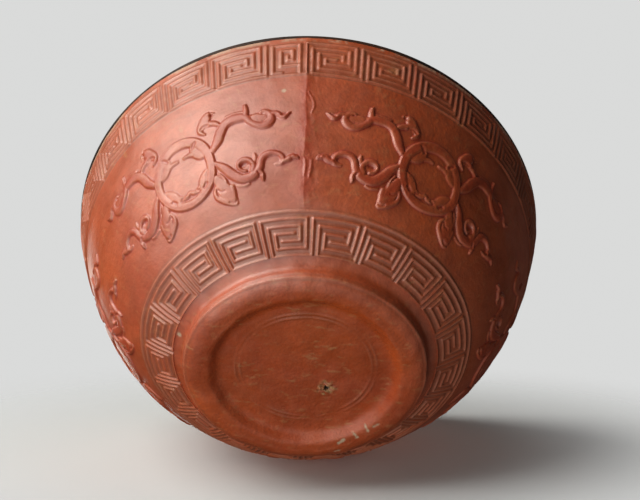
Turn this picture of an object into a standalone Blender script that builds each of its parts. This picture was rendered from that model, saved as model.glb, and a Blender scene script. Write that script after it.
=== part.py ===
"""A bowl grown from a moulded gourd, lacquered black inside and along its lip.

The gourd is one piece: its wall, foot ring and base grew together in a mould, whose carving
left raised roundels, scrolls and border lines on the skin. A grey ground coat, the lacquer
lining and the lacquered lip ring were added by hand after the gourd was cut open.

The bowl stands on its foot ring: the origin is the middle of the resting ring, +Z is up, and
the upright mould seam lies at -Y. All sizes are in metres.
"""

import math

import bmesh
import bpy
import numpy as np
from mathutils import Vector

# Overall sizes
RIM_RADIUS = 0.0750
BOWL_HEIGHT = 0.0656
AROUND = 60  # facets round each turned piece

# The wall is one smooth curve from the groove above the foot to the rim
WALL_START_RADIUS = 0.0384
WALL_START_HEIGHT = 0.0068
WALL_START_LEAN = math.radians(65.0)  # from the vertical, outwards
WALL_START_PULL = 0.0163
RIM_LEAN = math.radians(12.0)
RIM_PULL = 0.0352
WALL_STEPS = 8
WALL_SAMPLES = 400  # points read from the smooth curve
SLOPE_SPAN = 0.0010  # length of wall over which its slope is read

# Foot ring and base
FOOT_RADIUS = 0.0356
FOOT_BULGE_HEIGHT = 0.0027
FOOT_CREST_RADIUS = 0.0298
FOOT_REST_WIDTH = 0.0022
GROOVE_RADIUS = 0.0358
GROOVE_HEIGHT = 0.0058
BASE_RADIUS = 0.0246
FOOT_STEPS = 5
BASE_HEIGHT = 0.0024

# Rind and coats
RIND_THICKNESS = 0.0030
BASE_THICKNESS = 0.0040
GROUND_THICKNESS = 0.0007
LINING_THICKNESS = 0.0006
COAT_CLEARANCE = 0.0003
INNER_TURN = 0.0200  # how far up the wall the inside leaves its line to round into the floor
INNER_SIDE_STEPS = 5
INNER_FLOOR_STEPS = 4
FLOOR_ROUNDNESS = 0.75
FLOOR_FLATNESS = 0.55

# Lip ring
LIP_DEPTH = 0.0015
LIP_ROUNDING = 0.0007
LIP_STEPS = 3

# Raised border lines, measured along the wall: from the rim down, or from the wall's start up
RIM_LINE = 0.0040
UPPER_BAND_LINE = 0.0164
LOWER_BAND_LINE = 0.0123
START_LINE = 0.0006
LINE_WIDTH = 0.0011
LINE_RELIEF = 0.0004

# Fret bands, between the border lines. The solid has the uprights between the units and a bar
# in the middle of each unit; the finer turns of the fret are left out
LOWER_FRET_UNITS = 20
LOWER_FRET_ANGLE = math.radians(-15.5)  # from the seam to the first unit's edge
LOWER_FRET_SPAN = math.radians(360.0)
UPPER_FRET_UNITS = 27
UPPER_FRET_ANGLE = math.radians(-0.6)
UPPER_FRET_SPAN = math.radians(350.8)  # a narrower gap is left beside the seam
FRET_RELIEF = 0.0005
FRET_BEDDING = 0.0005
FRET_HALF_WIDTH = 0.0005  # at the skin
FRET_BAR_SHARE = 0.42  # a middle bar's length, as a share of its unit
UPRIGHT_STEPS = 3

# Two fine circles on the base
CIRCLE_RADIUS = 0.0208
CIRCLE_SPACING = 0.0013
CIRCLE_WIDTH = 0.0007
CIRCLE_RELIEF = 0.00025

# Blossom scar in the base
SCAR_X = 0.0058
SCAR_Y = 0.0064
SCAR_RADIUS = 0.0024
SCAR_DEPTH = 0.0011
SCAR_FLOOR_RADIUS = 0.0011
SCAR_SIDES = 8

# Roundels round the wall. The two beside the seam stand a little closer than the others
ROUNDEL_COUNT = 5
SEAM_HALF_ANGLE = math.radians(35.0)
ROUNDEL_RISE = 0.0321  # from the wall's start to the roundel's middle, along the wall
ROUNDEL_RADIUS = 0.0107
ROUNDEL_BAND = 0.0028
ROUNDEL_RELIEF = 0.0007
ROUNDEL_SIDES = 20
ROUNDEL_EDGE = 0.0003  # slope of the raised band's edges

# Scroll arms, in metres from the roundel's middle: across, up and half the arm's width at
# the skin. Each arm is a smooth curve through its points
SCROLL_RELIEF = 0.0007
SCROLL_STEPS = 11
UPPER_STEM = [
    (0.0102, 0.0024, 0.00065),
    (0.0140, 0.0072, 0.00080),
    (0.0185, 0.0110, 0.00080),
    (0.0224, 0.0102, 0.00075),
    (0.0252, 0.0070, 0.00075),
    (0.0288, 0.0082, 0.00065),
    (0.0282, 0.0116, 0.00050),
    (0.0256, 0.0106, 0.00040),
]
LOWER_STEM = [
    (0.0104, -0.0026, 0.00065),
    (0.0152, -0.0074, 0.00090),
    (0.0206, -0.0092, 0.00095),
    (0.0246, -0.0064, 0.00080),
    (0.0272, -0.0022, 0.00075),
    (0.0310, -0.0028, 0.00065),
    (0.0310, -0.0062, 0.00050),
    (0.0284, -0.0060, 0.00040),
]

# Leaves that stand off the roundel's shoulders, given as the arms are
LEAF_RELIEF = 0.0006
LEAF_STEPS = 5
UPPER_LEAF = [
    (0.0092, 0.0064, 0.0006),
    (0.0121, 0.0090, 0.0009),
    (0.0103, 0.0121, 0.0013),
    (0.0114, 0.0158, 0.0003),
]
LOWER_LEAF = [
    (0.0098, -0.0052, 0.0006),
    (0.0134, -0.0084, 0.0009),
    (0.0120, -0.0117, 0.0013),
    (0.0152, -0.0140, 0.0003),
]

# Mould seam, an upright ridge between the two bands
SEAM_BED_HALF_WIDTH = 0.0010
SEAM_BEDDING = 0.0006
SEAM_RELIEF = 0.00025
SEAM_STEPS = 8
SEAM_INSET = 0.0020

# How far the raised ornament reaches into the rind that it grew from
ROUNDEL_BEDDING = 0.0009
SCROLL_BEDDING = 0.0008
LEAF_BEDDING = 0.0007

MERGE_DISTANCE = 1e-6
SHARP_ANGLE = math.radians(35)
FRONT = -math.pi / 2


def bezier(start, pull_start, pull_end, end, count):
    """Points along a cubic curve."""
    t = np.linspace(0.0, 1.0, count)[:, None]
    a, b, c, d = (np.array(p) for p in (start, pull_start, pull_end, end))
    return (1 - t) ** 3 * a + 3 * (1 - t) ** 2 * t * b + 3 * (1 - t) * t**2 * c + t**3 * d


def wall_samples():
    """The wall's outer curve as radius, height and length along the wall."""
    start = (WALL_START_RADIUS, WALL_START_HEIGHT)
    end = (RIM_RADIUS, BOWL_HEIGHT)
    lift = (
        start[0] + WALL_START_PULL * math.sin(WALL_START_LEAN),
        start[1] + WALL_START_PULL * math.cos(WALL_START_LEAN),
    )
    drop = (
        end[0] - RIM_PULL * math.sin(RIM_LEAN),
        end[1] - RIM_PULL * math.cos(RIM_LEAN),
    )
    curve = bezier(start, lift, drop, end, WALL_SAMPLES)
    steps = np.hypot(*np.diff(curve, axis=0).T)
    return curve, np.concatenate([[0.0], np.cumsum(steps)])


WALL_CURVE, WALL_LENGTHS = wall_samples()
WALL_LENGTH = float(WALL_LENGTHS[-1])


def wall_point(along, rise=0.0):
    """Radius and height on the wall, rise metres out from its skin."""
    behind = min(max(along - SLOPE_SPAN / 2, 0.0), WALL_LENGTH - SLOPE_SPAN)
    places = (along, behind, behind + SLOPE_SPAN)
    radius, r_behind, r_ahead = np.interp(places, WALL_LENGTHS, WALL_CURVE[:, 0])
    height, z_behind, z_ahead = np.interp(places, WALL_LENGTHS, WALL_CURVE[:, 1])
    out, up = r_ahead - r_behind, z_ahead - z_behind
    span = math.hypot(out, up)
    return float(radius + rise * up / span), float(height - rise * out / span)


def along_at_height(height):
    """Length along the wall where it passes a height."""
    return float(np.interp(height, WALL_CURVE[:, 1], WALL_LENGTHS))


def on_wall(across, along, rise, middle_angle):
    """A point of the ornament, laid on the wall at its true width."""
    radius, height = wall_point(along, rise)
    skin_radius = wall_point(along)[0]
    angle = middle_angle + across / skin_radius
    return Vector((radius * math.cos(angle), radius * math.sin(angle), height))


def offset_line(points, distance):
    """A profile moved sideways by a distance, towards the inside of the bowl."""
    pts = np.array(points)
    runs = np.diff(pts, axis=0)
    runs /= np.linalg.norm(runs, axis=1)[:, None]
    normals = np.stack([runs[:, 1], -runs[:, 0]], axis=1)
    moved = []
    for i, p in enumerate(pts):
        before = normals[max(i - 1, 0)]
        after = normals[min(i, len(normals) - 1)]
        mitre = before + after
        mitre /= np.linalg.norm(mitre)
        moved.append(p + mitre * distance / float(mitre @ after))
    moved[-1][0] = 0.0
    return [tuple(p) for p in moved]


def trim_top(points, height):
    """The profile with its first point slid along its line to a height."""
    (r0, z0), (r1, z1) = points[:2]
    share = (height - z1) / (z0 - z1)
    return [(r1 + (r0 - r1) * share, height)] + list(points[1:])


def inside_line():
    """The rind's inner side, from the sawn edge down to the axis."""
    stations = np.linspace(WALL_LENGTH, INNER_TURN, INNER_SIDE_STEPS)
    side = [wall_point(s, -RIND_THICKNESS) for s in stations]
    above, turn = side[-2:]
    floor = BASE_HEIGHT + BASE_THICKNESS
    lean = math.atan2(above[0] - turn[0], above[1] - turn[1])
    pull = (turn[1] - floor) / math.cos(lean) * FLOOR_ROUNDNESS
    down = (turn[0] - pull * math.sin(lean), turn[1] - pull * math.cos(lean))
    flat = (turn[0] * FLOOR_FLATNESS, floor)
    bottom = bezier(turn, down, flat, (0.0, floor), INNER_FLOOR_STEPS + 1)[1:]
    return side + [tuple(p) for p in bottom]


LIP_UNDERSIDE = BOWL_HEIGHT - LIP_DEPTH
SAWN_HEIGHT = LIP_UNDERSIDE - COAT_CLEARANCE
INSIDE = inside_line()


def layer_side(distance):
    """The side of a coat at a distance in from the rind, cut at the sawn edge."""
    return trim_top(offset_line(INSIDE, distance), SAWN_HEIGHT)


def foot_line():
    """The underside from the axis out to the groove above the foot ring."""

    def base_at(radius, share):
        return radius, BASE_HEIGHT - CIRCLE_RELIEF * share

    outer = CIRCLE_RADIUS
    inner = CIRCLE_RADIUS - CIRCLE_SPACING
    line = [(0.0, BASE_HEIGHT)]
    line += [base_at(inner - CIRCLE_WIDTH / 2, 0.0), base_at(inner, 1.0)]
    line += [base_at((inner + outer) / 2, 0.0)]
    line += [base_at(outer, 1.0), base_at(outer + CIRCLE_WIDTH / 2, 0.0)]
    inner_rest = FOOT_CREST_RADIUS - FOOT_REST_WIDTH / 2
    outer_rest = FOOT_CREST_RADIUS + FOOT_REST_WIDTH / 2
    for t in np.linspace(0.0, 1.0, FOOT_STEPS):
        ease = (1 - math.cos(math.pi * t)) / 2
        line.append((BASE_RADIUS + (inner_rest - BASE_RADIUS) * t, BASE_HEIGHT * (1 - ease)))
    for t in np.linspace(0.0, 1.0, FOOT_STEPS):
        turn = math.pi / 2 * t
        radius = outer_rest + (FOOT_RADIUS - outer_rest) * math.sin(turn)
        line.append((radius, FOOT_BULGE_HEIGHT * (1 - math.cos(turn))))
    line.append((GROOVE_RADIUS, GROOVE_HEIGHT))
    return line


def wall_line():
    """The wall's outer side with its raised border lines, from its start to the sawn edge."""
    top = along_at_height(SAWN_HEIGHT)
    half = LINE_WIDTH / 2
    centres = (
        START_LINE,
        LOWER_BAND_LINE,
        WALL_LENGTH - UPPER_BAND_LINE,
        WALL_LENGTH - RIM_LINE,
    )
    stations = [(0.0, 0.0), (top, 0.0)]
    for centre in centres:
        stations += [(centre - half, 0.0), (centre, LINE_RELIEF), (centre + half, 0.0)]
    spread = np.linspace(LOWER_BAND_LINE, WALL_LENGTH - UPPER_BAND_LINE, WALL_STEPS)[1:-1]
    stations += [(float(s), 0.0) for s in spread]
    stations += [((START_LINE + LOWER_BAND_LINE) / 2, 0.0)]
    return [wall_point(s, rise) for s, rise in sorted(stations)]


def turned(name, line):
    """A mesh turned about +Z from a profile of radius and height."""
    bm = bmesh.new()
    corners = [bm.verts.new((radius, 0.0, height)) for radius, height in line]
    edges = [bm.edges.new(pair) for pair in zip(corners, corners[1:])]
    if line[0][0] > MERGE_DISTANCE:
        edges.append(bm.edges.new((corners[-1], corners[0])))
    bmesh.ops.spin(
        bm,
        geom=corners + edges,
        cent=(0, 0, 0),
        axis=(0, 0, 1),
        angle=2 * math.pi,
        steps=AROUND,
        use_merge=True,
    )
    bmesh.ops.remove_doubles(bm, verts=bm.verts, dist=MERGE_DISTANCE)
    bmesh.ops.recalc_face_normals(bm, faces=bm.faces)
    mesh = bpy.data.meshes.new(name)
    bm.to_mesh(mesh)
    bm.free()
    return mesh


def smooth_route(points, count):
    """Points spread along a smooth curve that passes through the given ones."""
    knots = np.array([points[0], *points, points[-1]])
    places = np.linspace(0.0, len(points) - 1, count)
    route = []
    for place in places:
        i = min(int(place), len(points) - 2)
        t = place - i
        a, b, c, d = knots[i : i + 4]
        bend = 2 * a - 5 * b + 4 * c - d
        route.append(b + t * (c - a) / 2 + t * t * bend / 2 + t**3 * (3 * b - a - 3 * c + d) / 2)
    return np.array(route)


def add_stroke(bm, route, relief, bedding, side, middle_angle):
    """A scroll arm or leaf: a closed ridge that follows a smooth line over the wall."""
    spread = (relief + bedding) / relief  # from the width at the skin to the width at the bed
    rings = []
    for i, (across, up, half) in enumerate(route):
        run = route[min(i + 1, len(route) - 1)][:2] - route[max(i - 1, 0)][:2]
        run /= np.linalg.norm(run)
        bed = half * spread
        ring = []
        for shift, rise in ((-bed, -bedding), (bed, -bedding), (0.0, relief)):
            x = side * (across + run[1] * shift)
            y = ROUNDEL_RISE + up - run[0] * shift
            ring.append(bm.verts.new(on_wall(x, y, rise, middle_angle)))
        rings.append(ring)
    skin_between(bm, rings)
    bm.faces.new(rings[0][::-1])
    bm.faces.new(rings[-1])


def skin_between(bm, rings):
    """Faces between neighbouring rings of corners."""
    for before, after in zip(rings, rings[1:]):
        for k in range(len(before)):
            m = (k + 1) % len(before)
            bm.faces.new((before[k], before[m], after[m], after[k]))


def add_ring(bm, middle_angle):
    """A roundel's raised flat band."""
    inner = ROUNDEL_RADIUS - ROUNDEL_BAND
    section = (
        (ROUNDEL_RADIUS, -ROUNDEL_BEDDING),
        (ROUNDEL_RADIUS, 0.0),
        (ROUNDEL_RADIUS - ROUNDEL_EDGE, ROUNDEL_RELIEF),
        (inner + ROUNDEL_EDGE, ROUNDEL_RELIEF),
        (inner, 0.0),
        (inner, -ROUNDEL_BEDDING),
    )
    rings = []
    for i in range(ROUNDEL_SIDES):
        turn = 2 * math.pi * i / ROUNDEL_SIDES
        ring = []
        for radius, rise in section:
            along = ROUNDEL_RISE + radius * math.sin(turn)
            place = on_wall(radius * math.cos(turn), along, rise, middle_angle)
            ring.append(bm.verts.new(place))
        rings.append(ring)
    skin_between(bm, rings + rings[:1])


def roundel_angles():
    """Angles of the roundels from the seam, the first and last beside it."""
    step = (2 * math.pi - 2 * SEAM_HALF_ANGLE) / (ROUNDEL_COUNT - 1)
    return [FRONT + SEAM_HALF_ANGLE + step * i for i in range(ROUNDEL_COUNT)]


def add_seam(bm):
    """The upright ridge that the mould's joint left."""
    bottom = LOWER_BAND_LINE + SEAM_INSET
    top = WALL_LENGTH - UPPER_BAND_LINE - SEAM_INSET
    rings = []
    for along in np.linspace(bottom, top, SEAM_STEPS):
        ring = [
            bm.verts.new(on_wall(-SEAM_BED_HALF_WIDTH, along, -SEAM_BEDDING, FRONT)),
            bm.verts.new(on_wall(SEAM_BED_HALF_WIDTH, along, -SEAM_BEDDING, FRONT)),
            bm.verts.new(on_wall(0.0, along, SEAM_RELIEF, FRONT)),
        ]
        rings.append(ring)
    skin_between(bm, rings)
    bm.faces.new(rings[0][::-1])
    bm.faces.new(rings[-1])


def add_bar(bm, start, end, steps, middle_angle):
    """A straight rib of a fret, between two places given as across and along the wall."""
    places = np.linspace(start, end, steps)
    route = np.array([(x, along - ROUNDEL_RISE, FRET_HALF_WIDTH) for x, along in places])
    add_stroke(bm, route, FRET_RELIEF, FRET_BEDDING, 1.0, middle_angle)


def fret_band(name, low, high, first, span, units):
    """A band's uprights, and the bar in the middle of each unit."""
    unit = span / units
    middle = (low + high) / 2
    half_bar = FRET_BAR_SHARE / 2 * unit * wall_point(middle)[0]
    closed = span > 2 * math.pi - unit / 2
    bm = bmesh.new()
    for i in range(units if closed else units + 1):
        add_bar(bm, (0.0, low), (0.0, high), UPRIGHT_STEPS, FRONT + first + unit * i)
    for i in range(units):
        middle_angle = FRONT + first + unit * (i + 0.5)
        add_bar(bm, (-half_bar, middle), (half_bar, middle), 2, middle_angle)
    return finish_mesh(name, bm)


def fret_meshes():
    """The main ribs of both fret bands."""
    lower = (START_LINE, LOWER_BAND_LINE, LOWER_FRET_ANGLE, LOWER_FRET_SPAN, LOWER_FRET_UNITS)
    bottom, top = WALL_LENGTH - UPPER_BAND_LINE, WALL_LENGTH - RIM_LINE
    upper = (bottom, top, UPPER_FRET_ANGLE, UPPER_FRET_SPAN, UPPER_FRET_UNITS)
    return [fret_band("lower_fret", *lower), fret_band("upper_fret", *upper)]


def finish_mesh(name, bm):
    """A mesh from separate closed bodies, each facing out."""
    bmesh.ops.recalc_face_normals(bm, faces=bm.faces)
    mesh = bpy.data.meshes.new(name)
    bm.to_mesh(mesh)
    bm.free()
    return mesh


def ornament_meshes():
    """The raised ornament that is joined to the rind, sorted by kind."""
    bm = bmesh.new()
    for angle in roundel_angles():
        add_ring(bm, angle)
    add_seam(bm)
    meshes = [finish_mesh("roundel_rings", bm)]
    kinds = (
        ("upper_stems", UPPER_STEM, SCROLL_STEPS, SCROLL_RELIEF, SCROLL_BEDDING),
        ("lower_stems", LOWER_STEM, SCROLL_STEPS, SCROLL_RELIEF, SCROLL_BEDDING),
        ("upper_leaves", UPPER_LEAF, LEAF_STEPS, LEAF_RELIEF, LEAF_BEDDING),
        ("lower_leaves", LOWER_LEAF, LEAF_STEPS, LEAF_RELIEF, LEAF_BEDDING),
    )
    for name, points, steps, relief, bedding in kinds:
        route = smooth_route(points, steps)
        bm = bmesh.new()
        for angle in roundel_angles():
            for side in (-1.0, 1.0):
                add_stroke(bm, route, relief, bedding, side, angle)
        meshes.append(finish_mesh(name, bm))
    return meshes


def scar_cutter():
    """A shallow dimple where the blossom dropped off."""
    bm = bmesh.new()
    bmesh.ops.create_cone(
        bm,
        cap_ends=True,
        segments=SCAR_SIDES,
        radius1=SCAR_RADIUS,
        radius2=SCAR_FLOOR_RADIUS,
        depth=SCAR_DEPTH * 2,
    )
    bmesh.ops.translate(bm, verts=bm.verts, vec=(SCAR_X, SCAR_Y, BASE_HEIGHT))
    return finish_mesh("blossom_scar_cut", bm)


def material(name, colour, roughness, metallic=0.0):
    """A plain surface."""
    mat = bpy.data.materials.new(name)
    mat.use_nodes = True
    shader = mat.node_tree.nodes["Principled BSDF"]
    shader.inputs["Base Color"].default_value = (*colour, 1.0)
    shader.inputs["Roughness"].default_value = roughness
    shader.inputs["Metallic"].default_value = metallic
    mat.diffuse_color = (*colour, 1.0)
    return mat


def add_piece(name, mesh, mat, parent):
    """A named piece of the bowl."""
    piece = bpy.data.objects.new(name, mesh)
    bpy.context.scene.collection.objects.link(piece)
    piece.parent = parent
    mesh.materials.append(mat)
    mesh.shade_smooth()
    mesh.set_sharp_from_angle(angle=SHARP_ANGLE)
    return piece


def add_tool(mesh, parent):
    """A guide that shapes the rind and isn't a piece itself."""
    tool = bpy.data.objects.new(mesh.name, mesh)
    bpy.context.scene.collection.objects.link(tool)
    tool.parent = parent
    tool.hide_render = True
    tool.display_type = "WIRE"
    return tool


def join_by_boolean(piece, tool, operation):
    """A live Boolean on a piece."""
    modifier = piece.modifiers.new(tool.name, "BOOLEAN")
    modifier.object = tool
    modifier.operation = operation
    modifier.solver = "EXACT"


def build_shell(parent):
    """The grown rind: base, foot ring and wall in one piece."""
    inner = trim_top(INSIDE, SAWN_HEIGHT)
    line = foot_line() + wall_line() + inner
    rind = material("gourd_rind", (0.36, 0.11, 0.05), 0.42)
    shell = add_piece("gourd_shell", turned("gourd_shell", line), rind, parent)
    for mesh in ornament_meshes() + fret_meshes():
        join_by_boolean(shell, add_tool(mesh, parent), "UNION")
    join_by_boolean(shell, add_tool(scar_cutter(), parent), "DIFFERENCE")
    return shell


def build_coat(name, start, thickness, mat, parent):
    """A coat on the inside of the bowl, as a thin closed shell."""
    outer = layer_side(start)
    inner = layer_side(start + thickness)
    return add_piece(name, turned(name, outer[::-1] + inner), mat, parent)


def build_lip(parent):
    """The lacquered ring that caps the sawn edge."""
    wall_stack = COAT_CLEARANCE * 2 + GROUND_THICKNESS + LINING_THICKNESS
    inner_radius = trim_top(offset_line(INSIDE, wall_stack), LIP_UNDERSIDE)[0][0]
    outer_radius = wall_point(along_at_height(LIP_UNDERSIDE))[0]
    line = [(inner_radius, LIP_UNDERSIDE), (outer_radius, LIP_UNDERSIDE)]
    for t in np.linspace(0.0, math.pi / 2, LIP_STEPS + 1):
        line.append(
            (
                RIM_RADIUS - LIP_ROUNDING * (1 - math.cos(t)),
                BOWL_HEIGHT - LIP_ROUNDING * (1 - math.sin(t)),
            )
        )
    for t in np.linspace(math.pi / 2, 0.0, LIP_STEPS + 1):
        line.append(
            (
                inner_radius + LIP_ROUNDING * (1 - math.cos(t)),
                BOWL_HEIGHT - LIP_ROUNDING * (1 - math.sin(t)),
            )
        )
    lacquer = material("lip_lacquer", (0.012, 0.009, 0.008), 0.28)
    return add_piece("rim_band", turned("rim_band", line), lacquer, parent)


def main():
    """Empties the scene and models the bowl."""
    for old in list(bpy.data.objects):
        bpy.data.objects.remove(old, do_unlink=True)
    bowl = bpy.data.objects.new("bowl", None)
    bpy.context.scene.collection.objects.link(bowl)
    build_shell(bowl)
    ground = material("ground_coat", (0.16, 0.15, 0.14), 0.85)
    build_coat("lacquer_ground", COAT_CLEARANCE, GROUND_THICKNESS, ground, bowl)
    lining_start = COAT_CLEARANCE * 2 + GROUND_THICKNESS
    black = material("lining_lacquer", (0.012, 0.009, 0.008), 0.25)
    build_coat("lacquer_lining", lining_start, LINING_THICKNESS, black, bowl)
    build_lip(bowl)


main()
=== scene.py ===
import math

import bmesh
import bpy
import numpy as np
from mathutils import Matrix, Vector


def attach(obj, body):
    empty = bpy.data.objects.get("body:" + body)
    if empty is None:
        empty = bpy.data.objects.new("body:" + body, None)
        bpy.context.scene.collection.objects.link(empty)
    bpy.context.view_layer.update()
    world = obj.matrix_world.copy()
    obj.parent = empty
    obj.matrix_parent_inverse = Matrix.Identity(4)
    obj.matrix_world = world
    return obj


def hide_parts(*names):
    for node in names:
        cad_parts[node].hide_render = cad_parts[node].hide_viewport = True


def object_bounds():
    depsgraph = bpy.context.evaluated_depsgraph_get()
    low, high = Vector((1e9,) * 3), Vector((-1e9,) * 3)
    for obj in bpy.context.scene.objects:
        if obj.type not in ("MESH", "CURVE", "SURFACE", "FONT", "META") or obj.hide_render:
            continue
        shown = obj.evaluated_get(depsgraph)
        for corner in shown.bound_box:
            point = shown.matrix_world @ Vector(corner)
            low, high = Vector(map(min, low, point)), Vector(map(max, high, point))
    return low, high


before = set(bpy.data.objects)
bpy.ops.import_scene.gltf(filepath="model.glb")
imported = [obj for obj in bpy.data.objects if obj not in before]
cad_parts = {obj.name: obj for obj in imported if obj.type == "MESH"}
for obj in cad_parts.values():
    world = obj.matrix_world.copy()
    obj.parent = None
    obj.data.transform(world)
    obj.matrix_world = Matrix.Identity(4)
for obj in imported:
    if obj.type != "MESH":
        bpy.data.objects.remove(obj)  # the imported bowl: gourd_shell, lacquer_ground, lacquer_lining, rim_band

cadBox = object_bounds()
mm = 0.001
tiny = 1e-9
print("frame loaded", [round(v / mm, 1) for v in cadBox[1]])

# The outer skin is one line from the middle of the base to the rim. Heights and radii in metres
bowlForm = {
    "rimRadius": cadBox[1].x,
    "rimHeight": cadBox[1].z,
    "startRadius": 38.4 * mm,  # the wall starts at the top of the groove over the foot
    "startHeight": 6.8 * mm,
    "startLean": 65,  # degrees from upright
    "startPull": 16.3 * mm,
    "rimLean": 12,
    "rimPull": 35.2 * mm,
    "wallSamples": 700,
    "footSamples": 16,  # between two points of the foot's line
    "rindDepth": 2.6 * mm,  # how deep each piece of rind reaches under its skin
    "innerFoot": -3.0 * mm,  # where the underside of the foot's piece turns, along the skin
    "innerBase": 20.0 * mm,  # and where it flattens, from the middle of the base
    "innerRows": 5,
    "lipDepth": 1.3 * mm,
    "lipGap": 0.2 * mm,
    "footLine": [  # radius and height in mm
        (0, 2.55), (8, 2.5), (16, 2.42), (22.0, 2.42), (24.4, 2.4), (25.7, 1.95), (26.7, 1.1),
        (27.6, 0.36), (28.6, 0.05), (29.8, 0.0), (31.4, 0.06), (33.3, 0.52), (34.8, 1.5), (35.45, 2.8),
        (35.5, 4.3), (35.8, 5.2), (36.6, 5.85),
    ],
}


def cubicLine(a, b, c, d, count):
    t = np.linspace(0, 1, count)[:, None]
    a, b, c, d = (np.array(p, float) for p in (a, b, c, d))
    return (1 - t) ** 3 * a + 3 * (1 - t) ** 2 * t * b + 3 * (1 - t) * t ** 2 * c + t ** 3 * d


def smoothLine(knots, stepsEach):
    pts = np.array([knots[0], *knots, knots[-1]], float)
    line = []
    for i in range(1, len(pts) - 2):
        a, b, c, d = pts[i - 1:i + 3]
        bend = 2 * a - 5 * b + 4 * c - d
        for t in np.linspace(0, 1, stepsEach, endpoint=False):
            line.append(b + t * (c - a) / 2 + t * t * bend / 2 + t ** 3 * (3 * b - a - 3 * c + d) / 2)
    line.append(pts[-2])
    return np.array(line)


def makeSkin(form):
    start = np.array([form["startRadius"], form["startHeight"]])
    end = np.array([form["rimRadius"], form["rimHeight"]])
    leanOut, leanUp = math.radians(form["startLean"]), math.radians(form["rimLean"])
    lift = start + form["startPull"] * np.array([math.sin(leanOut), math.cos(leanOut)])
    drop = end - form["rimPull"] * np.array([math.sin(leanUp), math.cos(leanUp)])
    wall = cubicLine(start, lift, drop, end, form["wallSamples"])
    knots = [(r * mm, z * mm) for r, z in form["footLine"]] + [tuple(start)]
    foot = smoothLine(knots, form["footSamples"])
    line = np.concatenate([foot[:-1], wall])
    steps = np.hypot(*np.diff(line, axis=0).T)
    along = np.concatenate([[0], np.cumsum(steps)])
    along -= along[len(foot) - 1]  # 0 where the wall starts
    run = np.gradient(line, along, axis=0)
    run /= np.linalg.norm(run, axis=1)[:, None]
    return {"radius": line[:, 0], "height": line[:, 1], "along": along, "out": run[:, 1], "up": -run[:, 0]}


skin = makeSkin(bowlForm)
wallLength = float(skin["along"][-1])
footLength = -float(skin["along"][0])


def skinAt(along, rise=0.0):
    radius, height = (np.interp(along, skin["along"], skin[k]) for k in ("radius", "height"))
    out, up = (np.interp(along, skin["along"], skin[k]) for k in ("out", "up"))
    return radius + out * rise, height + up * rise


def softStep(value, low, high):
    t = np.clip((value - low) / (high - low), 0, 1)
    return t * t * (3 - 2 * t)


def varied(evenness, amount):  # the usual share, and how far it varies
    usual, change = evenness
    return usual + change * amount


def hump(distance, halfWidth, power=1.5):
    return np.clip(1 - (distance / halfWidth) ** 2, 0, 1) ** power


rippleForm = {"waves": 16, "shortest": 0.75, "longest": 1.5, "level": 0.7}
ripples = {  # wavelength and seed of each unevenness
    "broad": (38 * mm, 1),
    "middle": (13 * mm, 2),
    "fine": (3.2 * mm, 3),
    "small": (5.5 * mm, 4),
    "relief": (9 * mm, 5),
    "swayAcross": (14 * mm, 11),
    "swayUp": (14 * mm, 12),
    "circles": (12 * mm, 21),
    "footSmall": (5 * mm, 22),
    "scarOutline": (2.4 * mm, 31),
    "scarCrumbs": (1.7 * mm, 32),
    "scarTint": (1.5 * mm, 33),
    "chips": (1.3 * mm, 41),
    "seamSway": (7 * mm, 51),
    "seamCrumbs": (2.6 * mm, 52),
    "lipBroad": (8 * mm, 61),
    "lipFine": (1.6 * mm, 62),
}


def ripple(points, name):  # smooth unevenness, about -1 to 1
    wavelength, seed = ripples[name]
    rng = np.random.default_rng(seed)
    total = np.zeros(len(points))
    for _ in range(rippleForm["waves"]):
        way = rng.normal(size=3)
        stretch = rng.uniform(rippleForm["shortest"], rippleForm["longest"])
        way *= 2 * math.pi / (wavelength * stretch * np.linalg.norm(way))
        total += np.sin(points @ way + rng.uniform(0, 2 * math.pi))
    return total * math.sqrt(2 / rippleForm["waves"]) * rippleForm["level"]


# Fret bands. A unit's lines are given in steps: across from its left edge, up from the band's foot
lowerFret = {
    "start": -0.5 * mm,  # along the wall, just under its lowest line
    "foot": 0.1 * mm,
    "step": 2.02 * mm,
    "across": 8.0,
    "first": -15.5,  # degrees of the first unit's left edge
    "covered": 360.0,
    "units": 20,
    "halfWidth": 0.33 * mm,
    "thinning": 1.1,  # how much finer the level lines are than the upright ones
    "relief": 0.5 * mm,
    "evenness": (0.92, 0.1),
    "lines": [
        [(0, 0), (0, 5), (7, 5), (7, 1), (2, 1), (2, 3), (5, 3)],
        [(8, 0), (1, 0), (1, 4), (6, 4), (6, 2), (3, 2)],
    ],
}
upperFret = {
    "foot": 55.3 * mm,
    "step": 2.06 * mm,
    "across": 8.67,
    "first": -0.6,
    "covered": 350.8,
    "units": 27,
    "halfWidth": 0.44 * mm,
    "thinning": 1.3,
    "relief": 0.42 * mm,
    "evenness": (0.86, 0.18),
    "lines": [
        [(0, 0), (0, 6), (7.67, 6), (7.67, 1), (2, 1), (2, 4), (5.67, 4), (5.67, 3)],
        [(8.67, 0), (1, 0), (1, 5), (6.67, 5), (6.67, 2), (3, 2), (3, 3), (4.6, 3)],
    ],
    "shortLines": [  # fills what is left beside the seam
        [(0, 0), (0, 6)],
        [(2.4, 0.3), (1.0, 0.3), (1.0, 5.8), (5.2, 5.8), (5.2, 0.2)],
        [(2.3, 1.6), (2.3, 4.6), (4.1, 4.6), (4.1, 2.7), (3.3, 2.7), (3.3, 3.5)],
        [(2.3, 1.6), (4.9, 1.6)],
    ],
}
fretEdge = (0.28 * mm, 0.34 * mm)  # how far a line's side slopes, inside its edge and outside
farAway = 1.0  # metres, further than any line


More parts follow.
